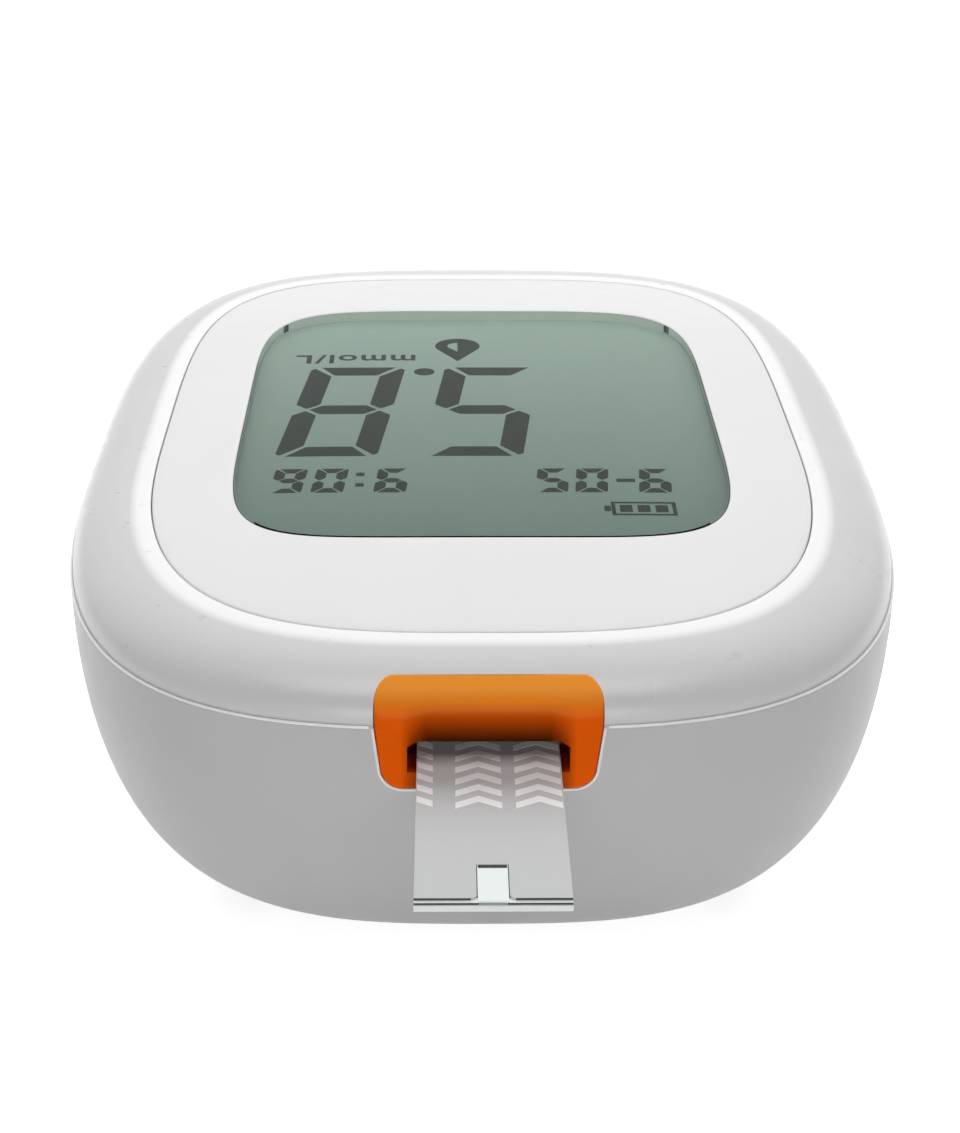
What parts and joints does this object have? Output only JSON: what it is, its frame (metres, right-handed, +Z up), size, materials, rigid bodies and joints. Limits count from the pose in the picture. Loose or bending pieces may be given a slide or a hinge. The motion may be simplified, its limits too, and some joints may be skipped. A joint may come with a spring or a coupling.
{
  "type": "blood glucose meter",
  "caption": "Handheld blood glucose meter with a squared oval housing, a display, a port with a test strip, buttons on hidden sides and a sliding battery door.",
  "frame": {"origin": "middle of the housing's plan, on the table plane under the feet", "axes": "+Z up; -Y is the end with the strip port; +X to the right when looking at the port"},
  "size_m": [0.062, 0.1086, 0.0237],
  "materials": {
    "shell_white": "semi-gloss white moulding",
    "shell_grey": "satin light grey moulding",
    "panel_white": "glossy white face sheet",
    "clear_lens": "clear window",
    "port_orange": "semi-gloss orange moulding",
    "lcd_film": "grey-green display film",
    "lcd_glass": "clear glass",
    "reflector_silver": "diffuse grey-green reflector",
    "frame_white": "matt white",
    "connector_rubber": "layered dark rubber",
    "board_green": "green solder mask",
    "chip_black": "black epoxy",
    "steel": "bright steel",
    "ceramic_tan": "ceramic",
    "socket_cream": "matt cream",
    "contact_gold": "gold plated",
    "button_white": "semi-gloss white moulding",
    "cell_jacket": "glossy printed jacket",
    "spring_nickel": "nickel plated",
    "foot_rubber": "matt grey rubber",
    "strip_white": "white film",
    "strip_grey": "grey film",
    "strip_clear": "clear film",
    "carbon_black": "printed carbon"
  },
  "bodies": {
    "housing": {"top_shell": "shell_white", "bottom_shell": "shell_grey", "face_panel": "panel_white", "display_lens": "clear_lens", "strip_port": "port_orange", "lcd_polarizer": "lcd_film", "lcd_front": "lcd_glass", "lcd_back": "lcd_glass", "lcd_reflector": "reflector_silver", "lcd_frame": "frame_white", "zebra_strip": "connector_rubber", "main_board": "board_green", "processor_chip": "chip_black", "amplifier_chip": "chip_black", "memory_chip": "chip_black", "clock_crystal": "steel", "board_parts": "ceramic_tan", "strip_connector": "socket_cream", "strip_contacts": "contact_gold", "buzzer": "chip_black", "main_switch": "steel", "set_switch": "steel", "cell_left": "cell_jacket", "cell_right": "cell_jacket", "battery_springs": "spring_nickel", "battery_plates": "spring_nickel", "housing_screws": "steel", "board_screws": "steel", "rubber_feet": "foot_rubber"},
    "test_strip": {"strip_base": "strip_white", "strip_spacer": "strip_white", "strip_cover": "strip_grey", "sample_window": "strip_clear", "strip_electrodes": "carbon_black"},
    "end_button": {"main_button": "button_white", "main_plunger": "chip_black"},
    "under_key": {"set_button": "button_white", "set_plunger": "chip_black"},
    "bay_door": {"battery_door": "shell_grey"}
  },
  "joints": [
    {"name": "strip_slide", "type": "slide", "parent": "housing", "child": "test_strip", "axis": [0, -1, 0], "range_m": [0, 0.034]},
    {"name": "button_press", "type": "slide", "parent": "housing", "child": "end_button", "axis": [0, -1, 0], "range_m": [0, 0.0005], "stiffness_N_per_m": 800},
    {"name": "key_press", "type": "slide", "parent": "housing", "child": "under_key", "axis": [0, 0, 1], "range_m": [0, 0.0005], "stiffness_N_per_m": 800},
    {"name": "door_slide", "type": "slide", "parent": "housing", "child": "bay_door", "axis": [0, 1, 0], "range_m": [0, 0.052]}
  ]
}
